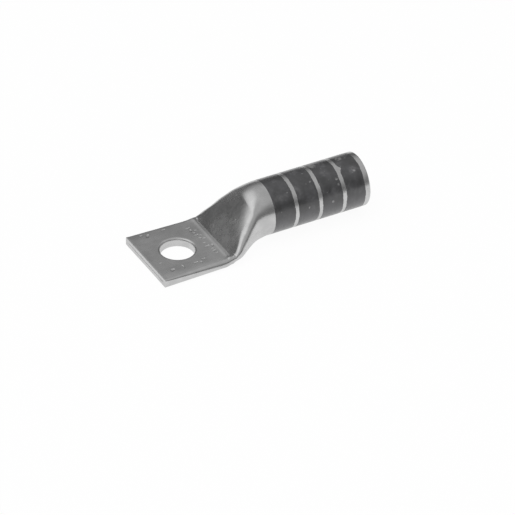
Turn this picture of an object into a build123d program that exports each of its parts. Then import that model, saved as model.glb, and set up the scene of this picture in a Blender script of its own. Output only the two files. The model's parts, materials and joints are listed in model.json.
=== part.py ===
from build123d import *
import math
import os

os.makedirs("parts", exist_ok=True)

# Cable lug pressed from one length of tube: a flat pad with a stud hole, a flattening
# transition and a round wire barrel with printed crimp bands.
# Sizes are in millimetres and angles in degrees. X runs from the stud hole to the barrel
# mouth, Z is up through the stud hole, and the underside of the pad lies at Z = 0.

# Tube
tube_diameter = 21.8
tube_wall = 1.8

# Pad, flattened until the tube's two layers touch
stud_hole_diameter = 13.5
pad_end_reach = 13.9
pad_length = 24.9
pad_end_corner_radius = 0.6
hole_rim_radius = 0.45
seam_width = 0.22
seam_depth = 0.45
fold_share = 0.49

# Shoulder: a low lip of displaced metal, a shallow groove in front of the facet, and
# the two folds, which start to open a little before the step line
lip_distance = 14.75
lip_rise = 0.16
lip_radius = 1.3
lobe_start_distance = 11.5
lobe_end_distance = 17.2
lobe_start_drop = 0.05
lobe_end_rise = 0.62
lobe_inset = 0.06
groove_distance = 15.85
groove_drop = 0.1
groove_radius = 0.9
step_distance = 16.05
shoulder_swell = 0.4

# Transition from the flat pad to the round barrel
facet_angle = 48.8
crown_bend_radius = 9.0
facet_spread_angle = 42.0
flat_spread_angle = 0.23
rounding_end_distance = 34.05
void_end_height = 1.4
void_corner_share = 0.42

# How late along the transition the crown's corners, the lower corners and the crown's
# own curve set in: the higher the power, the later
upper_corner_power = 2.3
lower_corner_power = 1.8
crown_power = 2.1
least_flank = 0.1
lower_corner_gap = 0.1

# Barrel
barrel_length = 43.2
barrel_rise = 0.05
mouth_outer_rounding = 0.45
mouth_inner_chamfer = 0.35

# Printed crimp bands; the one at the mouth is a little shorter than the others
band_count = 4
band_gap = 1.75
band_start_margin = 1.04
band_end_margin = 2.35
mouth_band_trim = 0.6
ink_thickness = 0.04

# Building aids: points on each curve, the step that finds where the void ends, how far
# a cutter passes its face, and how far a solid starts inside the one that it joins
curve_steps = 48
arc_steps = 200
void_search_step = 0.05
overcut = 1.0
trim = 0.02
inset = 0.02
stations = (0.05, 0.12, 0.2, 0.3, 0.4, 0.5, 0.59, 0.67, 0.75, 0.83, 0.91)

# What follows from them
radius = tube_diameter / 2
bore_radius = radius - tube_wall
hole_radius = stud_hole_diameter / 2
pad_thickness = 2 * tube_wall
perimeter = math.pi * tube_diameter
crown_height = barrel_rise + tube_diameter
axis_height = barrel_rise + radius
facet_slope = math.radians(facet_angle)
facet_spread = math.radians(facet_spread_angle)
flat_spread = math.radians(flat_spread_angle)
bend_tangent = crown_bend_radius * math.tan(facet_slope / 2)
facet_corner_x = step_distance + (crown_height - pad_thickness) / math.tan(facet_slope)
bend_start_x = facet_corner_x - bend_tangent * math.cos(facet_slope)
barrel_start_x = facet_corner_x + bend_tangent
mouth_x = barrel_start_x + barrel_length
transition_run = barrel_start_x - step_distance
shoulder_start_x = pad_length - pad_end_reach
fold_radius = fold_share * pad_thickness
lobe_radius = fold_radius - lobe_inset
pad_half_width = (perimeter - 2 * pad_thickness + 2 * (4 - math.pi) * fold_radius) / 4
step_half_width = pad_half_width + shoulder_swell
ink_length = barrel_length - band_start_margin - band_end_margin
band_pitch = (ink_length + band_gap + mouth_band_trim) / band_count


def crown(x):
    """Height of the top line over the transition, and the cosine of its slope."""
    if x < bend_start_x:
        height = pad_thickness + (x - step_distance) * math.tan(facet_slope)
        return height, math.cos(facet_slope)
    run = max(0.0, barrel_start_x - x)
    drop = math.sqrt(crown_bend_radius ** 2 - run ** 2)
    return crown_height - crown_bend_radius + drop, drop / crown_bend_radius


def top_arc_radius(height, top_radius, low_radius, spread):
    """Radius of the crown arc that gives the outline the length of the tube's round one."""
    bulk = perimeter / 2 - height + low_radius * (2 - math.pi / 2)
    turn = math.pi / 2 - spread + 1 - math.cos(spread) - math.sin(spread)
    share = spread - 1 + math.cos(spread) + math.sin(spread)
    return (bulk - top_radius * turn) / share


def flank_height(height, top_radius, low_radius, spread):
    """Straight height left on the flank between the upper and lower corners."""
    top_arc = top_arc_radius(height, top_radius, low_radius, spread)
    crown_drop = top_arc * (1 - math.cos(spread))
    return height - crown_drop - top_radius * math.cos(spread) - low_radius


def growth(x, end):
    """Smooth rise from 0 at the step line to 1 at the given distance."""
    share = min(1.0, max(0.0, (x - step_distance) / (end - step_distance)))
    return share * share * (3 - 2 * share)


def transition_outline(x):
    """Half width, base, height, corner radii and crown spread of the outside at x."""
    base = barrel_rise * (x - step_distance) / transition_run
    height = crown(x)[0] - base
    upper_growth = growth(x, barrel_start_x)
    lower_growth = growth(x, rounding_end_distance)
    top_radius = tube_wall + bore_radius * upper_growth ** upper_corner_power
    top_radius = min(top_radius, fold_share * height)
    low_radius = tube_wall + bore_radius * lower_growth ** lower_corner_power
    low_radius = min(low_radius, height / 2 - lower_corner_gap)
    spread = flat_spread + facet_spread * upper_growth ** crown_power
    flank = flank_height(height, top_radius, low_radius, spread)
    if flank < least_flank:
        wider = flank_height(height, top_radius + tube_wall, low_radius, spread)
        top_radius += tube_wall * (least_flank - flank) / (wider - flank)
    top_arc = top_arc_radius(height, top_radius, low_radius, spread)
    half_width = top_arc * math.sin(spread) + top_radius * (1 - math.sin(spread))
    return half_width, base, height, top_radius, low_radius, spread


def void_height(x):
    """Height of the void at x: what the lower wall and the sloping upper one leave."""
    slope_cosine = crown(x)[1]
    return transition_outline(x)[2] - tube_wall - tube_wall / slope_cosine


def void_outline(x):
    """The transition's outline at x, one tube wall further in."""
    half_width, base, _, top_radius, low_radius, spread = transition_outline(x)
    corner = void_corner_share * void_end_height
    return (half_width - tube_wall, base + tube_wall, void_height(x),
            max(corner, top_radius - tube_wall), max(corner, low_radius - tube_wall), spread)


def half_outline(half_width, base, height, top_radius, low_radius, spread):
    """Points from the top centre round the +Y side to the bottom centre, finely spaced."""
    top = base + height
    top_arc = (half_width - top_radius * (1 - math.sin(spread))) / math.sin(spread)
    corner_y = (top_arc - top_radius) * math.sin(spread)
    corner_z = top - top_arc + (top_arc - top_radius) * math.cos(spread)
    runs = [(0, top - top_arc, top_arc, 0, spread),
            (corner_y, corner_z, top_radius, spread, math.pi / 2),
            (half_width - low_radius, base + low_radius, low_radius, math.pi / 2, math.pi)]
    points = []
    for middle_y, middle_z, r, start, end in runs:
        for step in range(arc_steps + 1):
            turn = start + (end - start) * step / arc_steps
            points.append((middle_y + r * math.sin(turn), middle_z + r * math.cos(turn)))
    points.append((0, base))
    return points


def spaced(points, count):
    """Points at equal steps along a polyline."""
    lengths = [0.0]
    for first, second in zip(points, points[1:]):
        lengths.append(lengths[-1] + math.dist(first, second))
    result = []
    place = 1
    for step in range(count + 1):
        target = lengths[-1] * step / count
        while place < len(points) - 1 and lengths[place] < target:
            place += 1
        span = lengths[place] - lengths[place - 1]
        part = (target - lengths[place - 1]) / span if span else 0.0
        first, second = points[place - 1], points[place]
        result.append((first[0] + (second[0] - first[0]) * part,
                       first[1] + (second[1] - first[1]) * part))
    return result


def section(x, *outline):
    """Closed section at x from two mirrored halves, each a smooth curve."""
    half = spaced(half_outline(*outline), curve_steps)
    places = [step / curve_steps for step in range(curve_steps + 1)]
    right = [Vector(x, y, z) for y, z in half]
    left = [Vector(x, -y, z) for y, z in reversed(half)]
    along_y, against_y = Vector(0, 1, 0), Vector(0, -1, 0)
    edges = [Edge.make_spline(right, tangents=[along_y, against_y], parameters=places),
             Edge.make_spline(left, tangents=[against_y, along_y], parameters=places)]
    return Face(Wire(edges))


def round_section(r):
    """Round section at the start of the barrel, split like the others."""
    x = barrel_start_x
    top, bottom = Vector(x, 0, axis_height + r), Vector(x, 0, axis_height - r)
    edges = [Edge.make_three_point_arc(top, Vector(x, r, axis_height), bottom),
             Edge.make_three_point_arc(bottom, Vector(x, -r, axis_height), top)]
    return Face(Wire(edges))


def plate_section(x, half_width, corner_radius):
    """Section across the pad at x, a hair thicker than the plate it is trimmed to."""
    plane = Plane(origin=(x, 0, pad_thickness / 2), x_dir=(0, 1, 0), z_dir=(1, 0, 0))
    return plane * RectangleRounded(2 * half_width, pad_thickness + trim, corner_radius)


def tube_length(start_x, length, r, inner_radius=0.0):
    """A cylinder on the barrel's axis, hollow where an inner radius is given."""
    plane = Plane(origin=(start_x, 0, axis_height), z_dir=(1, 0, 0))
    align = (Align.CENTER, Align.CENTER, Align.MIN)
    solid = plane * Cylinder(r, length, align=align)
    if inner_radius:
        solid -= plane * Cylinder(inner_radius, length, align=align)
    return solid


# Pad: flattened tube, its folds pressed squarer at the cut end and round by the shoulder,
# where they swell a little on the way to the step line
shoulder_middle_x = (shoulder_start_x + step_distance) / 2
plate_sections = [plate_section(-pad_end_reach, pad_half_width, pad_end_corner_radius),
                  plate_section(shoulder_start_x, pad_half_width, fold_radius),
                  plate_section(shoulder_middle_x, step_half_width, fold_radius),
                  plate_section(step_distance, step_half_width, fold_radius)]
pad = loft(plate_sections[:2], ruled=True)
pad += loft(plate_sections[1:3], ruled=True)
pad += loft(plate_sections[2:], ruled=True)
pad &= Box(4 * mouth_x, 4 * step_half_width, pad_thickness,
           align=(Align.CENTER, Align.CENTER, Align.MIN))

# Transition: sections of constant outline length, from the step line to the barrel
outer_sections = [section(step_distance, step_half_width - inset, inset,
                          pad_thickness - 2 * inset, fold_radius - inset,
                          fold_radius - inset, flat_spread)]
for share in stations:
    x = step_distance + transition_run * share
    outer_sections.append(section(x, *transition_outline(x)))
outer_sections.append(round_section(radius))
transition = loft(outer_sections)

# Barrel, rounded on the outside of its mouth
with BuildPart() as barrel:
    with BuildSketch(Plane.XZ):
        with BuildLine():
            Polyline((mouth_x, axis_height + radius - mouth_outer_rounding),
                     (mouth_x, axis_height), (barrel_start_x, axis_height),
                     (barrel_start_x, axis_height + radius),
                     (mouth_x - mouth_outer_rounding, axis_height + radius))
            JernArc((mouth_x - mouth_outer_rounding, axis_height + radius), (1, 0),
                    mouth_outer_rounding, -90)
        make_face()
    revolve(axis=Axis((0, 0, axis_height), (1, 0, 0)))

body = pad + transition + barrel.part

# Lip: a low bar between the folds. Lobes: a round bar along each fold, climbing into
# the transition. Groove: behind the lip, at the foot of the facet
lip_half_length = step_half_width - lobe_radius - trim
lip_height = pad_thickness + lip_rise - lip_radius
body += Pos(lip_distance, 0, lip_height) * Rot(90, 0, 0) * Cylinder(
    lip_radius, 2 * lip_half_length)
for side in (-1, 1):
    lobe_start = Vector(lobe_start_distance, side * (pad_half_width - lobe_radius - trim),
                        pad_thickness - lobe_start_drop - lobe_radius)
    lobe_end = Vector(lobe_end_distance, side * lip_half_length,
                      pad_thickness + lobe_end_rise - lobe_radius)
    lobe_plane = Plane(origin=lobe_start, z_dir=lobe_end - lobe_start)
    body += lobe_plane * Cylinder(lobe_radius, (lobe_end - lobe_start).length,
                                  align=(Align.CENTER, Align.CENTER, Align.MIN))
groove_height = pad_thickness - groove_drop + groove_radius
body -= Pos(groove_distance, 0, groove_height) * Rot(90, 0, 0) * Cylinder(
    groove_radius, 4 * step_half_width)

# Void: a taper that follows the wall and closes before the pad, then the round bore
void_start_x = step_distance
while void_height(void_start_x) < void_end_height:
    void_start_x += void_search_step
void_sections = [section(void_start_x, *void_outline(void_start_x))]
for share in stations:
    x = step_distance + transition_run * share
    if x > void_start_x + tube_wall / 2:
        void_sections.append(section(x, *void_outline(x)))
void_sections.append(round_section(bore_radius))
body -= loft(void_sections)
with BuildPart() as bore:
    with BuildSketch(Plane.XZ):
        with BuildLine():
            Polyline((barrel_start_x, axis_height), (barrel_start_x, axis_height + bore_radius),
                     (mouth_x - mouth_inner_chamfer, axis_height + bore_radius),
                     (mouth_x + overcut, axis_height + bore_radius + mouth_inner_chamfer + overcut),
                     (mouth_x + overcut, axis_height), close=True)
        make_face()
    revolve(axis=Axis((0, 0, axis_height), (1, 0, 0)))
body -= bore.part

# Stud hole with a rolled rim on top
with BuildPart() as stud_hole:
    with BuildSketch(Plane.XZ):
        with BuildLine():
            Polyline((hole_radius + hole_rim_radius, pad_thickness),
                     (hole_radius + hole_rim_radius, pad_thickness + overcut),
                     (0, pad_thickness + overcut), (0, -overcut), (hole_radius, -overcut),
                     (hole_radius, pad_thickness - hole_rim_radius))
            JernArc((hole_radius, pad_thickness - hole_rim_radius), (0, 1), hole_rim_radius, -90)
        make_face()
    revolve(axis=Axis.Z)
body -= stud_hole.part

# Seam between the two layers, seen on the cut end of the pad
seam_half_length = pad_half_width - tube_wall
with BuildPart() as seam:
    with BuildSketch(Plane(origin=(-pad_end_reach, seam_half_length, pad_thickness / 2),
                           x_dir=(1, 0, 0), z_dir=(0, -1, 0))):
        with BuildLine():
            Polyline((-overcut, -seam_width / 2), (0, -seam_width / 2), (seam_depth, 0),
                     (0, seam_width / 2), (-overcut, seam_width / 2), close=True)
        make_face()
    extrude(amount=2 * seam_half_length)
body -= seam.part

lug_body = body.solids()[0]
lug_body.label = "lug_body"
export_step(lug_body, "parts/lug_body.step")

# Crimp bands: printed ink films on the barrel, counted from the mouth
for index in range(band_count):
    band_start_x = barrel_start_x + band_start_margin + (band_count - 1 - index) * band_pitch
    band_length = min(band_pitch - band_gap, mouth_x - band_end_margin - band_start_x)
    band = tube_length(band_start_x, band_length, radius + ink_thickness, radius)
    name = "crimp_band_%d" % (index + 1)
    band.label = name
    export_step(band, "parts/%s.step" % name)

print("solids in the body", len(body.solids()), "valid", lug_body.is_valid,
      "volume", round(lug_body.volume, 1))
print("bore from", round(barrel_start_x, 3), "to", round(mouth_x, 3), "axis", axis_height,
      "void from", round(void_start_x, 3), "band pitch", round(band_pitch, 3))
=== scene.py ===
"""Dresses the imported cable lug: pressed tube, stamped pad, printed bands and a plain studio."""

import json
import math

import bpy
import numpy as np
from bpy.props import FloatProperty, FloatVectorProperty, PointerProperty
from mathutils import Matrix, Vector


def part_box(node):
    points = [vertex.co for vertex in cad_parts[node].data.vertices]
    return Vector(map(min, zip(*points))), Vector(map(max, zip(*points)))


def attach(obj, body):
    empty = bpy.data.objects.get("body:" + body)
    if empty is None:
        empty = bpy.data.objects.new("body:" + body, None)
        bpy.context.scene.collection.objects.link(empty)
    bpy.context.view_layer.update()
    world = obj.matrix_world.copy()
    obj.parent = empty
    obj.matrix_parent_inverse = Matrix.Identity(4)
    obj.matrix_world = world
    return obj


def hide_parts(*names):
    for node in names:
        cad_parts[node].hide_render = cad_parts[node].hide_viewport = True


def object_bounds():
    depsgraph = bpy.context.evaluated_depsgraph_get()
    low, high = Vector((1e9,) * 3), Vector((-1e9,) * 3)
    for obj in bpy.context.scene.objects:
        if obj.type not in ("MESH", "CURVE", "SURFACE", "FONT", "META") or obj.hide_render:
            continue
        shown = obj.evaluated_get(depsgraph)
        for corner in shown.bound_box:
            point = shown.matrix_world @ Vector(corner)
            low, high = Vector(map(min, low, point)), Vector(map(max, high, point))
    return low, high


bl_info = {
    "name": "Cable Lug",
    "version": (1, 0, 0),
    "blender": (4, 5, 0),
    "location": "View3D > Sidebar > Cable Lug",
    "description": "Models a crimp cable lug pressed from tube, with printed bands",
    "category": "Add Mesh",
}

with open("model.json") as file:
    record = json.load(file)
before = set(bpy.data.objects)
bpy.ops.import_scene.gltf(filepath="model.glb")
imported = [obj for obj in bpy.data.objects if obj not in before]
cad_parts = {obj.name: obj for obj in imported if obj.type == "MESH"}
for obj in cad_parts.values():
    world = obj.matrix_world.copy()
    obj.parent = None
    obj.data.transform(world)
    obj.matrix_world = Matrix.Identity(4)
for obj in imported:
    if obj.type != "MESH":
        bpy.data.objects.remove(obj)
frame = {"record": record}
cad_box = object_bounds()

MM = 0.001
QUARTER_TURN = math.pi / 2

# Points round every ring, and the turn from the bottom at which each of them stands
COLUMNS = 192
TURNS = np.linspace(0, 2 * math.pi, COLUMNS + 1)

mounts = {mount["name"]: mount for mount in frame["record"]["mounts"]}
hole_radius = mounts["stud_hole"]["dims"]["r_mm"]
bore_radius = mounts["barrel_bore"]["dims"]["r_mm"]
axis_height = mounts["barrel_bore"]["pos_m"][2] / MM
mouth_x = cad_box[1].x / MM
pad_end_x = cad_box[0].x / MM


class LugSizes(bpy.types.PropertyGroup):
    """Sizes of the pressed lug, in millimetres."""
    tube_wall: FloatProperty(name="Tube wall", description="Wall of the tube before pressing",
                             default=1.8, min=0.5)
    facet_angle: FloatProperty(name="Facet angle", description="Slope of the flattened facet",
                               default=math.radians(50.4), subtype="ANGLE")
    crease_x: FloatProperty(name="Crease", description="Distance from the stud to the facet's top",
                            default=28.3)
    crease_angle: FloatProperty(name="Crease angle", description="Slope just past the crease",
                                default=math.radians(45.5), subtype="ANGLE")
    step_x: FloatProperty(name="Step line", description="Distance from the stud to the facet's foot",
                          default=16.05)
    shoulder_x: FloatProperty(name="Shoulder", description="Where the folds start to swell",
                              default=11.0)
    end_corner: FloatProperty(name="End corner", description="Fold radius at the pad's cut end",
                              default=0.6, min=0.1)
    edge_round: FloatProperty(name="Edge rounding", description="Rounding of the cut end's edges",
                              default=0.22, min=0.02)
    rim_round: FloatProperty(name="Rim rounding", description="Rolled rim of the stud hole",
                             default=0.95, min=0.1)
    lip_rise: FloatProperty(name="Lip rise", description="Height of the lip in front of the facet",
                            default=0.28, min=0.0)
    stamp_depth: FloatProperty(name="Stamp depth", description="Depth of the plain stamped marks",
                               default=0.25, min=0.0)


class InkSizes(bpy.types.PropertyGroup):
    """Sizes of the printed bands, in millimetres."""
    thickness: FloatProperty(name="Thickness", description="Thickness of the ink", default=0.04)
    waver: FloatProperty(name="Edge waver", description="How far a band's edge strays",
                         default=0.16, min=0.0)
    spread: FloatProperty(name="Edge spread", description="How far the ink has crept past its edge",
                          default=0.1, min=0.0)


class Finishes(bpy.types.PropertyGroup):
    """Colours and gloss."""
    tin_color: FloatVectorProperty(name="Tin", description="Colour of the tinned copper",
                                   subtype="COLOR", default=(0.70, 0.70, 0.70), min=0, max=1)
    tin_roughness: FloatProperty(name="Tin roughness", description="Satin gloss of the tin",
                                 default=0.25, min=0, max=1)
    ink_color: FloatVectorProperty(name="Ink", description="Colour of the printed bands",
                                   subtype="COLOR", default=(0.022, 0.022, 0.024), min=0, max=1)
    ink_roughness: FloatProperty(name="Ink roughness", description="Gloss of the ink",
                                 default=0.42, min=0, max=1)


class Studio(bpy.types.PropertyGroup):
    """Camera and floor of the plain studio."""
    azimuth: FloatProperty(name="Azimuth", description="Camera's turn round the lug",
                           default=math.radians(-29.2), subtype="ANGLE")
    elevation: FloatProperty(name="Elevation", description="Camera's height above the horizon",
                             default=math.radians(35.6), subtype="ANGLE")
    roll: FloatProperty(name="Roll", description="Camera's tilt", default=math.radians(0.82),
                        subtype="ANGLE")
    distance: FloatProperty(name="Distance", description="From the camera to the lug",
                            default=2.036, unit="LENGTH")
    floor_color: FloatVectorProperty(name="Floor", description="Colour of the floor",
                                     subtype="COLOR", default=(0.9, 0.9, 0.9), min=0, max=1)


# Easing


def smooth(share):
    """Smooth rise from 0 to 1."""
    share = np.clip(share, 0.0, 1.0)
    return share * share * (3 - 2 * share)


def rise(value, start, reach):
    """Smooth rise from 0 at the start to 1 a reach further on."""
    return smooth((value - start) / reach)


def plateau(value, start, reach, end, fall):
    """Smooth rise from the start, held up to the end, and a smooth fall after it."""
    return rise(value, start, reach) * (1 - rise(value, end, fall))


def eased_excess(value, ease):
    """What a value is above zero, with the corner at zero rounded by the ease."""
    return ease * math.log1p(math.exp(value / ease))


# Shape of the pressed tube, in millimetres


class PressedTube:
    """Outline of the lug at any distance from the stud, worked out from the tube before pressing."""

    # The pad: the folds' radius as a share of its thickness, what the press adds on each side, and
    # how much further the shoulder swells
    fold_share = 0.49
    press_spread = 0.26
    shoulder_swell = 0.12

    # The lip: the length of its front slope, the round past its crest, its back slope, the way from
    # the crest to the step line, and how far before that line the rings of the facet start
    lip_front = 1.1
    lip_crest = 0.5
    lip_back_slope = 0.4
    crest_to_step = 1.35
    foot_overlap = 0.02

    # The transition in plan: where its straight taper starts, its slope and the ease at both ends
    taper_start = 19.3
    taper_slope = 0.54
    pad_ease = 0.35
    barrel_ease = 0.6

    # The transition's corners: the radius of the ridges beside the facet, how far from the step
    # line the upper and lower radii grow, the powers they grow by, and the least straight side
    ridge_radius = 5.0
    ridge_reach = 6.0
    low_reach = 19.05
    ridge_growth = 2.5
    low_growth = 0.65
    least_side = 0.08

    # The crown's arc over half a section: nearly flat over the pad, widest on the barrel
    flat_arc = 0.004
    barrel_arc = math.radians(42)
    arc_growth = 1.5

    # The void in the transition: its least height, and its least corner radius, which is a share
    # of the height where the void is low
    least_void = 0.2
    low_void = 2.0
    low_void_corner_share = 0.45
    void_corner = 0.6

    def __init__(self, sizes):
        self.wall = sizes.tube_wall
        self.radius = bore_radius + self.wall
        self.thickness = 2 * self.wall
        self.barrel_base = axis_height - self.radius
        self.crown_height = axis_height + self.radius
        self.slope = sizes.facet_angle
        self.step = sizes.step_x
        self.foot = self.step - self.foot_overlap
        self.shoulder = sizes.shoulder_x
        self.end_corner = sizes.end_corner
        self.lip_rise = sizes.lip_rise
        self.crease = sizes.crease_x
        crease_height = self.thickness + (self.crease - self.step) * math.tan(self.slope)
        self.bend = (self.crown_height - crease_height) / (1 - math.cos(sizes.crease_angle))
        self.barrel = self.crease + self.bend * math.sin(sizes.crease_angle)
        self.fold = self.fold_share * self.thickness
        perimeter = 2 * math.pi * self.radius
        saved_by_corners = 2 * (4 - math.pi) * self.fold
        folded_half_width = (perimeter - 2 * self.thickness + saved_by_corners) / 4
        self.pad_half_width = folded_half_width + self.press_spread

    def facet_height(self, x):
        """Height of the facet's slope, also where it is carried on past its ends."""
        return self.thickness + (x - self.step) * math.tan(self.slope)

    def crown(self, x):
        """Height of the top line, and the cosine of its slope."""
        if x <= self.step:
            return self.thickness, 1.0
        if x < self.crease:
            return self.facet_height(x), math.cos(self.slope)
        run = max(0.0, self.barrel - x)
        drop = math.sqrt(self.bend ** 2 - run ** 2)
        return self.crown_height - self.bend + drop, drop / self.bend

    def foot_line(self, x):
        """Height between the folds: the lip, its back slope and the foot of the facet."""
        crest = self.step - self.crest_to_step
        past = x - crest
        if past < 0:
            height = self.thickness + self.lip_rise * rise(x, crest - self.lip_front, self.lip_front)
        elif past < self.lip_crest:
            drop = self.lip_back_slope * past ** 2 / (2 * self.lip_crest)
            height = self.thickness + self.lip_rise - drop
        else:
            drop = self.lip_back_slope * (past - self.lip_crest / 2)
            height = self.thickness + self.lip_rise - drop
        return max(height, self.facet_height(x))

    def taper(self, x):
        """Half width over the transition: straight in plan, eased in at both ends."""
        widest = self.pad_half_width + self.shoulder_swell
        straight = widest - self.taper_slope * (x - self.taper_start)
        half_width = self.radius + eased_excess(straight - self.radius, self.barrel_ease)
        return widest - eased_excess(widest - half_width, self.pad_ease)

    def outline(self, x):
        """Half width, base, height, corner radii and crown arc of the outside at x."""
        if x <= self.step:
            half_width = self.pad_half_width + self.shoulder_swell * rise(
                x, self.shoulder, self.step - self.shoulder)
            toward = min(1.0, (x - pad_end_x) / (self.shoulder - pad_end_x))
            corner = self.end_corner + (self.fold - self.end_corner) * toward
            return half_width, 0.0, self.thickness, corner, corner, self.flat_arc
        past = x - self.step
        share = past / (self.barrel - self.step)
        growth = smooth(share)
        base = self.barrel_base * share
        height = self.crown(x)[0] - base
        top_radius = self.wall + (self.ridge_radius - self.wall) * smooth(past / self.ridge_reach)
        top_radius += (self.radius - self.ridge_radius) * growth ** self.ridge_growth
        low_share = min(1.0, past / self.low_reach) ** self.low_growth
        low_radius = self.wall + bore_radius * low_share
        fit = min(1.0, (height - self.least_side) / (top_radius + low_radius))
        arc = self.flat_arc + self.barrel_arc * growth ** self.arc_growth
        return self.taper(x), base, height, top_radius * fit, low_radius * fit, arc

    def void(self, x):
        """The outline one wall further in."""
        half_width, base, height, top_radius, low_radius, arc = self.outline(x)
        inner = max(height - self.wall - self.wall / self.crown(x)[1], self.least_void)
        corner = self.low_void_corner_share * inner if inner < self.low_void else self.void_corner
        return (half_width - self.wall, base + self.wall, inner,
                max(corner, top_radius - self.wall), max(corner, low_radius - self.wall), arc)


def ring(half_width, base, height, top_radius, low_radius, crown_arc):
    """Closed ring of (y, z) points from the bottom centre round to the bottom centre."""
    arc_points = 161
    share_by_length = 0.62
    arc_radius = (half_width - top_radius * (1 - math.sin(crown_arc))) / math.sin(crown_arc)
    top = base + height
    corner_y = (arc_radius - top_radius) * math.sin(crown_arc)
    corner_z = top - arc_radius + (arc_radius - top_radius) * math.cos(crown_arc)
    runs = [(0.0, top - arc_radius, arc_radius, 0.0, crown_arc),
            (corner_y, corner_z, top_radius, crown_arc, QUARTER_TURN),
            (half_width - low_radius, base + low_radius, low_radius, QUARTER_TURN, math.pi)]
    points, turns = [], []
    for middle_y, middle_z, radius, start, end in runs:
        angles = np.linspace(start, end, arc_points)
        points.append(np.stack([middle_y + radius * np.sin(angles),
                                middle_z + radius * np.cos(angles)], 1))
        turns.append(angles)
    points.append(np.array([[0.0, base]]))
    turns.append(np.array([math.pi]))
    points, turns = np.vstack(points), np.concatenate(turns)
    lengths = np.concatenate([[0], np.cumsum(np.linalg.norm(np.diff(points, axis=0), axis=1))])
    measure = share_by_length * lengths / lengths[-1] + (1 - share_by_length) * turns / math.pi
    steps = np.linspace(0, 1, COLUMNS // 2 + 1)
    half = np.stack([np.interp(steps, measure, points[:, 0]),
                     np.interp(steps, measure, points[:, 1])], 1)
    other = half[1:] * [-1, 1]
    return np.vstack([half[::-1], other])


def circle(radius):
    """A ring round the barrel's axis, from the bottom round to the bottom."""
    return np.stack([np.sin(TURNS) * radius, axis_height - np.cos(TURNS) * radius], 1)


def soft_pad_edge(tube, pad_start, x, points):
    """Lowers the pad's top a little towards its two folds, and more on the near side."""
    near_fall, far_fall = 0.24, 0.1
    reach = 4.2
    fall = np.where(points[:, 0] < 0, near_fall, far_fall)
    toward_fold = np.clip((np.abs(points[:, 0]) - (tube.pad_half_width - reach)) / reach, 0, 1)
    here = plateau(x, start=pad_start, reach=1.2, end=tube.shoulder - 1.5, fall=4.0)
    on_top = points[:, 1] > tube.thickness / 2
    points[:, 1] -= fall * here * toward_fold ** 2 * on_top


def press_lip(tube, x, points, side):
    """Raises the strip between the folds to the lip, and drops it to the facet's foot."""
    top_skin = 0.3
    plain = tube.crown(x)[0]
    between_folds = 1 - rise(side, start=tube.pad_half_width - 2.5, reach=1.7)
    points[:, 1] += (tube.foot_line(x) - plain) * between_folds * (points[:, 1] > plain - top_skin)


def belly_facet(tube, x, points, z):
    """Lets the facet's foot belly out a little, most of all beside its middle."""
    belly, middle_y, half_width = 0.14, -1.0, 10.0
    height = belly * plateau(x - tube.foot, start=0.0, reach=1.2, end=1.2, fall=8.0)
    across = 1 - rise(np.abs(points[:, 0] - middle_y), start=0.0, reach=half_width)
    points[:, 1] += height * across * (z > 0.7 * tube.crown(x)[0])


def open_folds(tube, x, points, side, z):
    """Opens the folds before the facet starts: their tops stand up, and their undersides lift.

    Returns how far each point is on top of a fold.
    """
    flat, plain = tube.thickness, tube.crown(x)[0]
    low = 0.35 * flat
    most_open, further_slope, further_from = 0.95, 0.12, 15.5
    near_share, far_share = 1.0, 0.25
    most_lifted = 0.8
    blend = 0.03
    at_fold = rise(side, start=points[:, 0].max() - 3.4, reach=2.4)
    upper = rise(z, start=low, reach=plain - low)
    opening = most_open * rise(x, start=11.8, reach=5.0) + further_slope * max(0.0, x - further_from)
    gap = flat + opening * np.where(points[:, 0] < 0, near_share, far_share) - plain
    raised = (gap + np.sqrt(gap * gap + blend)) / 2 * rise(x, start=12.0, reach=3.0)
    lifted = most_lifted * plateau(x, start=12.6, reach=3.2, end=17.5, fall=5.5)
    points[:, 1] += at_fold * (lifted * (1 - upper) + raised * upper)
    return at_fold * upper


def tuck_far_shoulder(x, points, side, fold_top):
    """Draws the far shoulder in and down a little."""
    most_down, most_in = 0.35, 0.7
    half_width = points[:, 0].max()
    tuck = plateau(x, start=15.2, reach=3.0, end=19.5, fall=6.0) * (points[:, 0] > 0)
    points[:, 1] -= most_down * tuck * fold_top
    points[:, 0] -= most_in * tuck * smooth(side / half_width)


def shoulder_relief(tube, x, points):
    """Lip, groove, belly, early folds and far tuck, pressed into the ring at x."""
    side, z = np.abs(points[:, 0]), points[:, 1].copy()
    press_lip(tube, x, points, side)
    belly_facet(tube, x, points, z)
    fold_top = open_folds(tube, x, points, side, z)
    tuck_far_shoulder(x, points, side, fold_top)


def scaled(points, share_y, share_z, middle_z):
    """A ring drawn in towards its middle."""
    return np.stack([points[:, 0] * share_y, middle_z + (points[:, 1] - middle_z) * share_z], 1)


def shut(points, share_y, middle_z):
    """A ring pressed shut to a line, its upper and lower points brought together."""
    half = COLUMNS // 2
    partner = np.concatenate([np.arange(half, -1, -1), np.arange(COLUMNS - 1, half - 1, -1)])
    together = (points[:, 0] + points[partner, 0]) / 2
    return np.stack([together * share_y, np.full(len(points), middle_z)], 1)


def quarter_steps(count):
    """Sines and cosines of a quarter turn, in even steps with both ends."""
    for step in range(count + 1):
        angle = QUARTER_TURN * step / count
        yield math.sin(angle), math.cos(angle)


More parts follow.
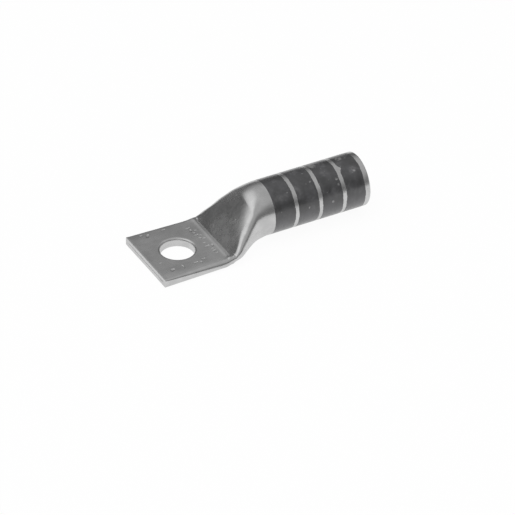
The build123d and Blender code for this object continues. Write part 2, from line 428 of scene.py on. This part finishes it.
def cut_end_rows(tube, edge):
    """The seam between the two pressed walls, the flat cut end and its rounded edges."""
    middle = tube.thickness / 2
    least_corner = 0.05
    half_width, base, height, corner, _, crown_arc = tube.outline(pad_end_x)

    def end_ring(inset):
        """The cut end's outline drawn in by an even margin."""
        radius = max(corner - inset, least_corner)
        return ring(half_width - inset, base + inset, height - 2 * inset, radius, radius, crown_arc)

    cut = end_ring(edge)
    seam_depth, seam_bevel = 0.45, 0.05
    # Widths and heights of the seam, as shares of the cut end's
    seam_width = (tube.pad_half_width - tube.wall) / tube.pad_half_width
    bottom_width, mouth_width = seam_width - 0.01, seam_width + 0.004
    seam_height, mouth_height = 0.055, 0.11
    rows = [(pad_end_x + seam_depth, shut(cut, bottom_width, middle)),
            (pad_end_x + seam_bevel, scaled(cut, seam_width, seam_height, middle)),
            (pad_end_x, scaled(cut, mouth_width, mouth_height, middle))]
    across_the_cut = (0.35, 0.7, 0.93)
    for share in across_the_cut:
        width_share = seam_width + (1 - seam_width) * share
        rows.append((pad_end_x, scaled(cut, width_share, share, middle)))
    for sine, cosine in quarter_steps(5):
        rows.append((pad_end_x + edge * (1 - cosine), end_ring(edge * (1 - sine))))
    return rows


def pad_and_transition_rows(tube, edge):
    """The pad, and the transition up to the round barrel."""
    before_lip, past_step = 2.3, 2.0
    ends_and_counts = ((tube.step - before_lip, 40), (tube.foot, 40), (tube.step + past_step, 24),
                       (tube.crease, 34), (tube.barrel, 26))
    pad_start = pad_end_x + edge
    places = [pad_start]
    for end, count in ends_and_counts:
        places += list(np.linspace(places[-1], end, count)[1:])
    rows = []
    for x in places[1:-1]:
        points = ring(*tube.outline(x))
        soft_pad_edge(tube, pad_start, x, points)
        if tube.shoulder < x < tube.crease:
            shoulder_relief(tube, x, points)
        rows.append((x, points))
    return rows


def barrel_rows(tube):
    """The round barrel, its mouth with both edges rounded, and the bore."""
    outer_round, inner_round = 0.45, 0.35
    rows = [(x, circle(tube.radius)) for x in np.linspace(tube.barrel, mouth_x - outer_round, 40)]
    for sine, cosine in list(quarter_steps(6))[1:]:
        rows.append((mouth_x - outer_round * (1 - sine),
                     circle(tube.radius - outer_round * (1 - cosine))))
    for sine, cosine in quarter_steps(4):
        rows.append((mouth_x - inner_round * (1 - cosine),
                     circle(bore_radius + inner_round * (1 - sine))))
    rows += [(x, circle(bore_radius))
             for x in np.linspace(mouth_x - inner_round, tube.barrel, 14)[1:]]
    return rows


def void_rows(tube):
    """The void inside the transition, down to where its walls meet."""
    low_end = tube.step + 2.1
    shut_length, shut_width_share = 1.2, 0.97
    rows = [(x, ring(*tube.void(x))) for x in np.linspace(tube.barrel, low_end, 24)[1:]]
    last = rows[-1][1]
    middle = float(last[:, 1].min() + last[:, 1].max()) / 2
    rows.append((low_end - shut_length, shut(last, shut_width_share, middle)))
    return rows


def lug_rows(tube, edge):
    """Rings of the lug's skin: seam, cut end, pad, transition, barrel, mouth, bore and void."""
    return (cut_end_rows(tube, edge) + pad_and_transition_rows(tube, edge)
            + barrel_rows(tube) + void_rows(tube))


# Modelling by hand


def deselect():
    """Leaves object mode with nothing selected."""
    if bpy.context.object and bpy.context.object.mode != "OBJECT":
        bpy.ops.object.mode_set(mode="OBJECT")
    bpy.ops.object.select_all(action="DESELECT")


def take(obj):
    """Makes obj the one selected and active object."""
    deselect()
    obj.select_set(True)
    bpy.context.view_layer.objects.active = obj


def apply_place(obj):
    """Moves the object's place into its mesh."""
    take(obj)
    bpy.ops.object.transform_apply(location=True, rotation=True, scale=True)


def sheet_to_skin(name, rows):
    """A flat sheet with a vertex for each ring point, rolled on to the rings and merged.

    A row is a distance from the stud and a ring. The distance is one number for the whole ring,
    or one for each of its points.
    """
    merge_gap = 0.002
    count = len(rows)
    deselect()
    bpy.ops.mesh.primitive_grid_add(x_subdivisions=count - 1, y_subdivisions=COLUMNS, size=2)
    obj = bpy.context.object
    obj.name = obj.data.name = name
    flat = np.empty(len(obj.data.vertices) * 3)
    obj.data.vertices.foreach_get("co", flat)
    flat = flat.reshape(-1, 3)
    row = np.rint((flat[:, 0] + 1) / 2 * (count - 1)).astype(int)
    column = np.rint((flat[:, 1] + 1) / 2 * COLUMNS).astype(int)
    distances = np.stack([np.broadcast_to(x, COLUMNS + 1) for x, _ in rows])
    rings = np.stack([points for _, points in rows])
    spot = np.empty_like(flat)
    spot[:, 0] = distances[row, column]
    spot[:, 1:] = rings[row, column]
    obj.data.vertices.foreach_set("co", (spot * MM).ravel())
    bpy.ops.object.mode_set(mode="EDIT")
    bpy.ops.mesh.select_all(action="SELECT")
    bpy.ops.mesh.remove_doubles(threshold=merge_gap * MM)
    bpy.ops.mesh.normals_make_consistent(inside=False)
    bpy.ops.object.mode_set(mode="OBJECT")
    return obj


def cut_away(obj, cutter):
    """Takes the cutter out of obj, and the cutter out of the scene."""
    take(obj)
    change = obj.modifiers.new("cut", "BOOLEAN")
    change.operation = "DIFFERENCE"
    change.solver = "EXACT"
    change.object = cutter
    bpy.ops.object.modifier_apply(modifier=change.name)
    take(cutter)
    bpy.ops.object.delete()


def select_top_face(obj):
    """Selects the highest flat face of the mesh that is being edited."""
    bpy.ops.mesh.select_all(action="DESELECT")
    bpy.ops.object.mode_set(mode="OBJECT")
    highest = max(obj.data.polygons, key=lambda face: face.center.z)
    highest.select = True
    bpy.ops.object.mode_set(mode="EDIT")
    bpy.ops.mesh.select_mode(type="FACE")


def hole_cutter(rim, thickness):
    """A punch whose neck flares out with the rolled rim, and stands 1 mm out above and below."""
    below = above = 1.0
    straight = thickness - rim + below
    deselect()
    bpy.ops.mesh.primitive_cylinder_add(
        vertices=160, radius=hole_radius * MM, depth=straight * MM,
        location=(0, 0, (straight / 2 - below) * MM), end_fill_type="NGON")
    punch = bpy.context.object
    bpy.ops.object.mode_set(mode="EDIT")
    select_top_face(punch)
    radius, height = hole_radius, 0.0
    for sine, cosine in list(quarter_steps(10))[1:]:
        new_radius = hole_radius + rim * (1 - cosine)
        new_height = rim * sine
        bpy.ops.mesh.extrude_region_move(
            TRANSFORM_OT_translate={"value": (0, 0, (new_height - height) * MM)})
        bpy.ops.transform.resize(value=(new_radius / radius, new_radius / radius, 1),
                                 center_override=(0, 0, 0))
        radius, height = new_radius, new_height
    bpy.ops.mesh.extrude_region_move(TRANSFORM_OT_translate={"value": (0, 0, above * MM)})
    bpy.ops.object.mode_set(mode="OBJECT")
    apply_place(punch)
    return punch


# Plain marks struck into the pad: centre x and y, length, width and turn in degrees
STRUCK_MARKS = (
    (9.6, 10.0, 2.6, 1.2, 14), (10.1, 8.2, 2.2, 1.2, 70), (11.8, 7.6, 1.5, 1.2, 20),
    (10.5, 6.3, 1.5, 1.3, 0), (10.6, 4.6, 2.3, 1.2, 10), (12.1, 3.8, 1.5, 1.2, 60),
    (11.0, 2.4, 1.5, 1.2, 0), (12.4, 1.4, 1.6, 1.3, 40), (10.9, -1.2, 1.4, 1.2, 0),
    (10.9, -3.7, 2.5, 1.3, 12), (13.0, -4.1, 2.1, 1.2, 76), (12.1, -5.9, 1.3, 1.2, 0),
    (11.9, -7.6, 2.2, 1.2, 30), (12.4, -9.2, 1.4, 1.2, 0),
    (-8.2, -11.5, 2.2, 1.9, 20), (-3.5, -11.3, 0.9, 2.7, 5), (1.9, -11.3, 2.5, 1.2, 14),
    (4.0, -11.7, 1.1, 1.7, 14), (5.6, -10.4, 2.0, 1.2, 10), (-8.6, 14.0, 1.8, 1.3, 30),
    (-6.3, 12.7, 2.8, 1.5, 60), (0.9, 13.6, 2.1, 1.3, 10), (-10.4, -5.3, 1.3, 0.8, 0))


def mark_cutter(depth, thickness):
    """Small round-ended punches, one for each struck mark, joined into one cutter."""
    punches = []
    for x, y, length, width, turn in STRUCK_MARKS:
        deselect()
        bpy.ops.mesh.primitive_uv_sphere_add(segments=16, ring_count=8, radius=0.5)
        punch = bpy.context.object
        bpy.ops.object.mode_set(mode="EDIT")
        bpy.ops.mesh.select_all(action="SELECT")
        bpy.ops.transform.resize(value=(length * MM, width * MM, 2 * depth * MM),
                                 center_override=(0, 0, 0))
        bpy.ops.object.mode_set(mode="OBJECT")
        punch.rotation_euler = (0, 0, math.radians(turn))
        punch.location = (x * MM, y * MM, thickness * MM)
        apply_place(punch)
        punches.append(punch)
    deselect()
    for punch in punches:
        punch.select_set(True)
    bpy.context.view_layer.objects.active = punches[0]
    bpy.ops.object.join()
    return bpy.context.object


def finish_normals(obj, crisp_angle):
    """Smooth shading with crisp edges, and flat faces kept flat up to their roundings."""
    take(obj)
    bpy.ops.object.shade_smooth_by_angle(angle=math.radians(crisp_angle))
    change = obj.modifiers.new("even", "WEIGHTED_NORMAL")
    change.keep_sharp = True
    change.weight = 60
    bpy.ops.object.modifier_apply(modifier=change.name)


# Printed bands

# Distance along a band, as a share of its width, and how far the ink stands up there
FILM_PROFILE = ([(0.0, 0.0), (0.004, 0.7), (0.012, 1.0)]
                + [(share, 1.0) for share in np.linspace(0.05, 0.95, 9)]
                + [(0.988, 1.0), (0.996, 0.7), (1.0, 0.0), (0.5, 0.0), (0.0, 0.0)])


def wavering_edge(waver, number, phase):
    """How far one edge of a band strays, at each point round the barrel."""
    waves = (0.3 * np.sin(3 * TURNS + number)
             + 0.4 * np.sin(7 * TURNS + 2 * number + phase)
             + 0.3 * np.sin(17 * TURNS + 5 * number + phase)
             + 0.3 * np.sin(43 * TURNS + 3 * number + phase) * np.sin(2 * TURNS + number))
    return waver * waves


def notch(depth, turn, width):
    """A bite out of a band's edge, at a turn from the top in degrees."""
    return depth * np.exp(-((TURNS - math.pi - math.radians(turn)) / width) ** 2)


def print_band(number, low_x, high_x, least_x, ink, radius):
    """A closed film of ink round the barrel, with slightly uneven edges."""
    start = np.maximum(low_x + wavering_edge(ink.waver, number, phase=0) - ink.spread, least_x)
    end = high_x - wavering_edge(ink.waver, number, phase=2) + ink.spread
    if number == 1:
        start += notch(depth=0.9, turn=20, width=0.09)
    rows = []
    for share, lift in FILM_PROFILE:
        rows.append((start + (end - start) * share, circle(radius + ink.thickness * lift)))
    return sheet_to_skin("ink_band_%d" % number, rows)


# Materials

# Sockets of a Mix node that mixes colours
MIX_FIRST, MIX_SECOND, MIX_RESULT = 6, 7, 2


class Nodes:
    """Short calls that add and join the nodes of one material."""

    def __init__(self, name):
        self.material = bpy.data.materials.new(name)
        self.material.use_nodes = True
        self.tree = self.material.node_tree
        self.shader = self.tree.nodes["Principled BSDF"]
        self.place = self.add("ShaderNodeTexCoord").outputs["Object"]

    def add(self, kind, **settings):
        """A new node with its settings."""
        node = self.tree.nodes.new(kind)
        for key, value in settings.items():
            setattr(node, key, value)
        return node

    def join(self, source, target):
        """Links two sockets."""
        self.tree.links.new(source, target)

    def feed(self, socket, value):
        """Links a socket, or sets it where the value is a plain one."""
        if isinstance(value, bpy.types.NodeSocket):
            self.join(value, socket)
        else:
            socket.default_value = value

    def noise(self, scale, detail=3.0, rough=0.5, stretch=(1, 1, 1), offset=(0, 0, 0)):
        """Noise on Object coordinates, scale in features a metre."""
        mapping = self.add("ShaderNodeMapping")
        self.join(self.place, mapping.inputs["Vector"])
        mapping.inputs["Scale"].default_value = stretch
        mapping.inputs["Location"].default_value = offset
        node = self.add("ShaderNodeTexNoise")
        self.join(mapping.outputs[0], node.inputs["Vector"])
        node.inputs["Scale"].default_value = scale
        node.inputs["Detail"].default_value = detail
        node.inputs["Roughness"].default_value = rough
        return node.outputs["Fac"]

    def reckon(self, operation, first, second=0.0):
        """Arithmetic on two values."""
        node = self.add("ShaderNodeMath", operation=operation)
        self.feed(node.inputs[0], first)
        self.feed(node.inputs[1], second)
        return node.outputs[0]

    def blend(self, first, second, share):
        """The first value times the share, plus the second times the rest."""
        return self.reckon("ADD", self.reckon("MULTIPLY", first, share),
                           self.reckon("MULTIPLY", second, 1 - share))

    def spread(self, value, low, high, to_low=0.0, to_high=1.0):
        """Maps a value's range to another, smoothly and within its ends."""
        node = self.add("ShaderNodeMapRange", interpolation_type="SMOOTHSTEP")
        self.feed(node.inputs["Value"], value)
        for key, number in (("From Min", low), ("From Max", high), ("To Min", to_low),
                            ("To Max", to_high)):
            node.inputs[key].default_value = number
        return node.outputs[0]

    def mix(self, share, first, second):
        """Mixes two colours."""
        node = self.add("ShaderNodeMix", data_type="RGBA")
        self.feed(node.inputs["Factor"], share)
        self.feed(node.inputs[MIX_FIRST], first)
        self.feed(node.inputs[MIX_SECOND], second)
        return node.outputs[MIX_RESULT]

    def bump(self, height, distance, below=None):
        """A bump of a height given in millimetres, on top of the one below it."""
        node = self.add("ShaderNodeBump")
        self.join(height, node.inputs["Height"])
        node.inputs["Distance"].default_value = distance * MM
        node.inputs["Strength"].default_value = 1.0
        if below is not None:
            self.join(below, node.inputs["Normal"])
        return node.outputs[0]

    def near(self, x, y, z, reach):
        """1 close to a point, 0 beyond its reach, all in millimetres."""
        gap = self.add("ShaderNodeVectorMath", operation="DISTANCE")
        self.join(self.place, gap.inputs[0])
        gap.inputs[1].default_value = (x * MM, y * MM, z * MM)
        return self.spread(gap.outputs["Value"], 0.4 * reach * MM, reach * MM, 1.0, 0.0)


def grey(color, share):
    """The colour made lighter or darker, as four numbers."""
    return tuple(min(1.0, part * share) for part in color) + (1.0,)


def tin_material(finishes):
    """Tin-plated copper: satin, faintly mottled, with drawing lines and small nicks."""
    nodes = Nodes("tinned_copper")
    shader = nodes.shader
    color = finishes.tin_color
    mottle = nodes.noise(260, detail=4, rough=0.6)
    cloud = nodes.noise(70, detail=2, offset=(0.3, 0.1, 0.2))
    lines = nodes.noise(900, rough=0.6, stretch=(0.03, 1, 1))

    shade = nodes.spread(nodes.blend(mottle, cloud, 0.5), 0.35, 0.65)
    nodes.join(nodes.mix(shade, grey(color, 0.91), grey(color, 1.08)), shader.inputs["Base Color"])
    shader.inputs["Metallic"].default_value = 1.0

    rough = nodes.reckon("ADD", nodes.spread(cloud, 0.3, 0.7, -0.03, 0.05),
                         nodes.spread(lines, 0.3, 0.7, -0.02, 0.03))
    rough = nodes.reckon("ADD", rough, finishes.tin_roughness)
    nodes.join(rough, shader.inputs["Roughness"])

    nicks = nodes.spread(nodes.noise(420, detail=1, rough=0.4, offset=(0.9, 0.4, 0.1)), 0.74, 0.84)
    relief = nodes.bump(nodes.noise(45, detail=2, offset=(0.7, 0.2, 0.5)), 0.3)
    relief = nodes.bump(nodes.noise(1500, rough=0.6), 0.006, below=relief)
    relief = nodes.bump(lines, 0.01, below=relief)
    nodes.join(nodes.bump(nicks, 0.03, below=relief), shader.inputs["Normal"])
    return nodes.material


# Worn places in the ink: x, turn round the barrel from the top in degrees, and reach
WORN_PLACES = ((68.3, 19, 1.4), (74.3, 33, 0.8), (59.8, -12, 2.1), (65.9, 40, 0.7),
               (62.5, 84, 0.7), (71.4, -8, 1.7), (66.0, 52, 0.6), (55.2, 30, 0.6))


def worn_ink(nodes, radius):
    """Where the ink is flecked through: fine flecks all over, and the ragged worn places."""
    worn = nodes.spread(nodes.noise(800, detail=2, offset=(0.5, 0.3, 0.8)), 0.70, 0.76)
    ragged = nodes.spread(nodes.noise(700, rough=0.6), 0.38, 0.55)
    for x, turn, reach in WORN_PLACES:
        angle = math.radians(turn)
        spot = nodes.near(x, -math.sin(angle) * radius, axis_height + math.cos(angle) * radius, reach)
        worn = nodes.reckon("MAXIMUM", worn, nodes.reckon("MULTIPLY", spot, ragged))
    return worn


def ink_material(finishes, radius):
    """Dark print with a clear sheen, thin in places, flecked down to the tin, and paler towards its
    underside as a painted reflection of the white floor.
    """
    nodes = Nodes("band_ink")
    shader = nodes.shader
    color = finishes.ink_color
    cloud = nodes.noise(230, detail=4, rough=0.62, offset=(0.2, 0.6, 0.4))
    smear = nodes.noise(320, rough=0.6, stretch=(1, 0.5, 0.5))
    shade = nodes.blend(cloud, smear, 0.6)

    thin = nodes.spread(cloud, 0.52, 0.74, 0.0, 0.09)
    flecks = nodes.reckon("MULTIPLY", worn_ink(nodes, radius), 0.5)
    worn = nodes.reckon("MAXIMUM", flecks, thin)

    # Painted reflection of the white floor: the ink's colour is made paler towards the barrel's
    # underside, in uneven smears, in place of the floor's light.
    split = nodes.add("ShaderNodeSeparateXYZ")
    nodes.join(nodes.place, split.inputs[0])
    floor_sheen_starts, floor_sheen_full = axis_height + 3.0, axis_height - 4.5
    painted_floor_sheen = nodes.spread(split.outputs["Z"], floor_sheen_starts * MM, floor_sheen_full * MM)
    painted_floor_sheen = nodes.reckon("MULTIPLY", painted_floor_sheen, nodes.spread(smear, 0.32, 0.66, 0.45, 1.0))

    dark = nodes.mix(nodes.spread(shade, 0.36, 0.66), grey(color, 0.6), grey(color, 2.1))
    # Mixes in the painted floor reflection: paler ink on the underside.
    dark = nodes.mix(painted_floor_sheen, dark, grey(color, 4.2))
    base = nodes.mix(worn, dark, grey(finishes.tin_color, 0.8))
    nodes.join(base, shader.inputs["Base Color"])
    nodes.join(worn, shader.inputs["Metallic"])

    rough = nodes.reckon("ADD", nodes.spread(shade, 0.36, 0.66, -0.08, 0.1), finishes.ink_roughness)
    nodes.join(rough, shader.inputs["Roughness"])
    shader.inputs["Specular IOR Level"].default_value = 1.0
    shader.inputs["Coat Weight"].default_value = 1.0
    shader.inputs["Coat Roughness"].default_value = 0.22
    skin = nodes.bump(nodes.noise(500, rough=0.6), 0.01)
    nodes.join(nodes.bump(worn, -0.03, below=skin), shader.inputs["Normal"])
    return nodes.material


def floor_material(studio):
    """White ground: seen and mirrored as plain white, with the lug's soft shadow kept."""
    seen_glow, mirrored_glow, mirrored_dimming = 0.95, 0.9, 0.22
    nodes = Nodes("floor_paper")
    shader = nodes.shader
    shader.inputs["Base Color"].default_value = tuple(studio.floor_color) + (1.0,)
    shader.inputs["Roughness"].default_value = 0.9
    path = nodes.add("ShaderNodeLightPath")
    mirrored = nodes.reckon("MAXIMUM", path.outputs["Is Glossy Ray"],
                            path.outputs["Is Transmission Ray"])
    share = nodes.reckon("MAXIMUM",
                         nodes.reckon("MULTIPLY", path.outputs["Is Camera Ray"], seen_glow),
                         nodes.reckon("MULTIPLY", mirrored, mirrored_glow))
    glow = nodes.add("ShaderNodeEmission")
    nodes.join(nodes.reckon("SUBTRACT", 1.0, nodes.reckon("MULTIPLY", mirrored, mirrored_dimming)),
               glow.inputs["Strength"])
    blend = nodes.add("ShaderNodeMixShader")
    nodes.join(share, blend.inputs[0])
    nodes.join(shader.outputs[0], blend.inputs[1])
    nodes.join(glow.outputs[0], blend.inputs[2])
    nodes.join(blend.outputs[0], nodes.tree.nodes["Material Output"].inputs["Surface"])
    return nodes.material


def soft_room():
    """World light: bright above, a soft box on the left, and soft strips low down all round."""
    world = bpy.data.worlds.new("soft_room")
    world.use_nodes = True
    tree = world.node_tree

    def add(kind, values, **settings):
        """A node whose sockets are linked or set in order."""
        node = tree.nodes.new(kind)
        for key, value in settings.items():
            setattr(node, key, value)
        for socket, value in zip(node.inputs, values):
            if isinstance(value, bpy.types.NodeSocket):
                tree.links.new(value, socket)
            else:
                socket.default_value = value
        return node

    def light(value, low, high, top):
        """Light that rises smoothly from 0 at low to top at high."""
        return add("ShaderNodeMapRange", (value, low, high, 0.0, top),
                   interpolation_type="SMOOTHSTEP").outputs[0]

    def joined(operation, first, second):
        """Arithmetic on two lights."""
        return add("ShaderNodeMath", (first, second), operation=operation).outputs[0]

    way = tree.nodes.new("ShaderNodeTexCoord").outputs["Generated"]

    def toward(x, y, z):
        """How nearly the view's way is this one."""
        return add("ShaderNodeVectorMath", (way, (x, y, z)), operation="DOT_PRODUCT").outputs["Value"]

    split = add("ShaderNodeSeparateXYZ", (way,))
    height, depth = split.outputs["Z"], split.outputs["Y"]
    all_round = 0.106
    less_behind = joined("SUBTRACT", 1.0, light(depth, 0.3, 0.75, 0.12))
    ceiling = joined("MULTIPLY", light(height, 0.28, 0.79, 0.375), less_behind)
    left_box = joined("MULTIPLY", light(toward(-0.82, 0.205, 0.533), 0.60, 0.86, 0.42),
                      light(height, 0.41, 0.53, 1.0))
    front_wall = light(depth, -0.6, -0.9, 0.085)
    front_strip = light(toward(-0.60, -0.80, 0.05), 0.90, 0.985, 0.42)
    left_strip = light(toward(-0.98, 0.15, 0.1), 0.87, 0.97, 0.28)
    right_strip = light(toward(0.79, -0.6, 0.1), 0.91, 0.985, 0.28)
    back_strip = joined("MULTIPLY", light(height, 0.16, 0.02, 0.26), light(depth, 0.1, 0.5, 1.0))
    total = all_round
    for part in (ceiling, left_box, front_wall, front_strip, left_strip, right_strip, back_strip):
        total = joined("ADD", part, total)
    tree.links.new(total, tree.nodes["Background"].inputs["Color"])
    return world


# Operators


class LUG_OT_press_body(bpy.types.Operator):
    """Press the lug from a tube: pad, stud hole, struck marks, transition and barrel"""
    bl_idname = "lug.press_body"
    bl_label = "Press the lug body"
    bl_options = {"REGISTER", "UNDO"}

    def execute(self, context):
        sizes = context.scene.lug_sizes
        tube = PressedTube(sizes)
        body = sheet_to_skin("pressed_lug", lug_rows(tube, sizes.edge_round))
        cut_away(body, hole_cutter(sizes.rim_round, tube.thickness))
        cut_away(body, mark_cutter(sizes.stamp_depth, tube.thickness))
        finish_normals(body, crisp_angle=32)
        body.data.materials.clear()
        body.data.materials.append(tin_material(context.scene.lug_finishes))
        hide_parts("lug_body")
        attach(body, "root")
        return {"FINISHED"}


class LUG_OT_print_bands(bpy.types.Operator):
    """Print the dark bands round the barrel, with slightly uneven edges"""
    bl_idname = "lug.print_bands"
    bl_label = "Print the bands"
    bl_options = {"REGISTER", "UNDO"}

    def execute(self, context):
        ink = context.scene.lug_ink
        radius = bore_radius + context.scene.lug_sizes.tube_wall
        material = ink_material(context.scene.lug_finishes, radius)
        names = ["crimp_band_%d" % number for number in range(1, 5)]
        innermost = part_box(names[-1])[0].x / MM
        for number, node in enumerate(names, start=1):
            low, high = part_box(node)
            band = print_band(number, low.x / MM, high.x / MM, innermost, ink, radius)
            finish_normals(band, crisp_angle=50)
            band.data.materials.clear()
            band.data.materials.append(material)
            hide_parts(node)
            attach(band, "root")
        return {"FINISHED"}


# The frame, 515 pixels square: its scale at the lug, and where a point of the lug stands in it.
# The point is given from the stud, in pixels' lengths.
FRAME_PIXELS = 515
PIXELS_A_MM = 2.585
AIM_POINT = (70, 0, 10)
AIM_COLUMN, AIM_ROW = 239.22, 229.2


def photo_camera(studio):
    """The camera at the photograph's viewing angle."""
    azimuth, elevation, roll = studio.azimuth, studio.elevation, studio.roll
    ahead = Vector((-math.sin(azimuth), math.cos(azimuth), 0))
    right = Vector((math.cos(azimuth), math.sin(azimuth), 0))
    up = math.sin(elevation) * ahead + math.cos(elevation) * Vector((0, 0, 1))
    look = math.cos(elevation) * ahead - math.sin(elevation) * Vector((0, 0, 1))
    frame_right = math.cos(roll) * right + math.sin(roll) * up
    frame_up = math.cos(roll) * up - math.sin(roll) * right
    pixel = MM / PIXELS_A_MM
    middle = Vector(AIM_POINT) * pixel
    middle += frame_right * (FRAME_PIXELS / 2 - AIM_COLUMN) * pixel
    middle -= frame_up * (FRAME_PIXELS / 2 - AIM_ROW) * pixel
    camera = bpy.data.cameras.new("camera")
    camera.sensor_width = 36
    camera.lens = camera.sensor_width * studio.distance / (FRAME_PIXELS * pixel)
    camera.clip_start, camera.clip_end = 0.01, 20
    holder = bpy.data.objects.new("camera", camera)
    place = Matrix((frame_right, frame_up, -look)).transposed().to_4x4()
    place.translation = middle - look * studio.distance
    holder.matrix_world = place
    return holder


class LUG_OT_set_stage(bpy.types.Operator):
    """Set the white floor, the soft light and the camera"""
    bl_idname = "lug.set_stage"
    bl_label = "Set the stage"
    bl_options = {"REGISTER", "UNDO"}

    def execute(self, context):
        studio = context.scene.lug_studio
        floor_gap = 0.02
        deselect()
        bpy.ops.mesh.primitive_plane_add(size=4, location=(0, 0, -floor_gap * MM))
        floor = context.object
        floor.name = "floor"
        apply_place(floor)
        floor.data.materials.append(floor_material(studio))

        context.scene.world = soft_room()
        lamp_place = Vector((-0.3, -0.2, 1.6))
        deselect()
        bpy.ops.object.light_add(type="AREA", location=lamp_place)
        lamp = context.object
        lamp.name = lamp.data.name = "overhead_lamp"
        lamp.data.shape = "SQUARE"
        lamp.data.size = 1.8
        lamp.data.energy = 20.0
        lamp.rotation_euler = lamp_place.to_track_quat("Z", "Y").to_euler()
        lamp.visible_glossy = False

        camera = photo_camera(studio)
        context.scene.collection.objects.link(camera)
        context.scene.camera = camera
        context.scene.view_settings.view_transform = "Standard"
        return {"FINISHED"}


class LUG_PT_panel(bpy.types.Panel):
    """The lug's sizes and steps in the sidebar"""
    bl_idname = "LUG_PT_panel"
    bl_label = "Cable Lug"
    bl_space_type = "VIEW_3D"
    bl_region_type = "UI"
    bl_category = "Cable Lug"

    def draw(self, context):
        """Lists the sizes, the finishes and the steps."""
        column = self.layout.column()
        for name, group in GROUPS:
            for key in group.__annotations__:
                column.prop(getattr(context.scene, name), key)
        for step in STEPS:
            column.operator(step.bl_idname)


STEPS = (LUG_OT_press_body, LUG_OT_print_bands, LUG_OT_set_stage)
GROUPS = (("lug_sizes", LugSizes), ("lug_ink", InkSizes), ("lug_finishes", Finishes),
          ("lug_studio", Studio))


def register():
    """Registers the groups of values, the operators and the panel."""
    for name, group in GROUPS:
        bpy.utils.register_class(group)
        setattr(bpy.types.Scene, name, PointerProperty(type=group))
    for step in STEPS:
        bpy.utils.register_class(step)
    bpy.utils.register_class(LUG_PT_panel)


def unregister():
    """Takes out what register put in, last first."""
    bpy.utils.unregister_class(LUG_PT_panel)
    for step in reversed(STEPS):
        bpy.utils.unregister_class(step)
    for name, group in reversed(GROUPS):
        delattr(bpy.types.Scene, name)
        bpy.utils.unregister_class(group)


def main():
    """Builds the lug and its stage."""
    register()
    bpy.ops.lug.press_body()
    bpy.ops.lug.print_bands()
    bpy.ops.lug.set_stage()


if __name__ == "__main__":
    main()
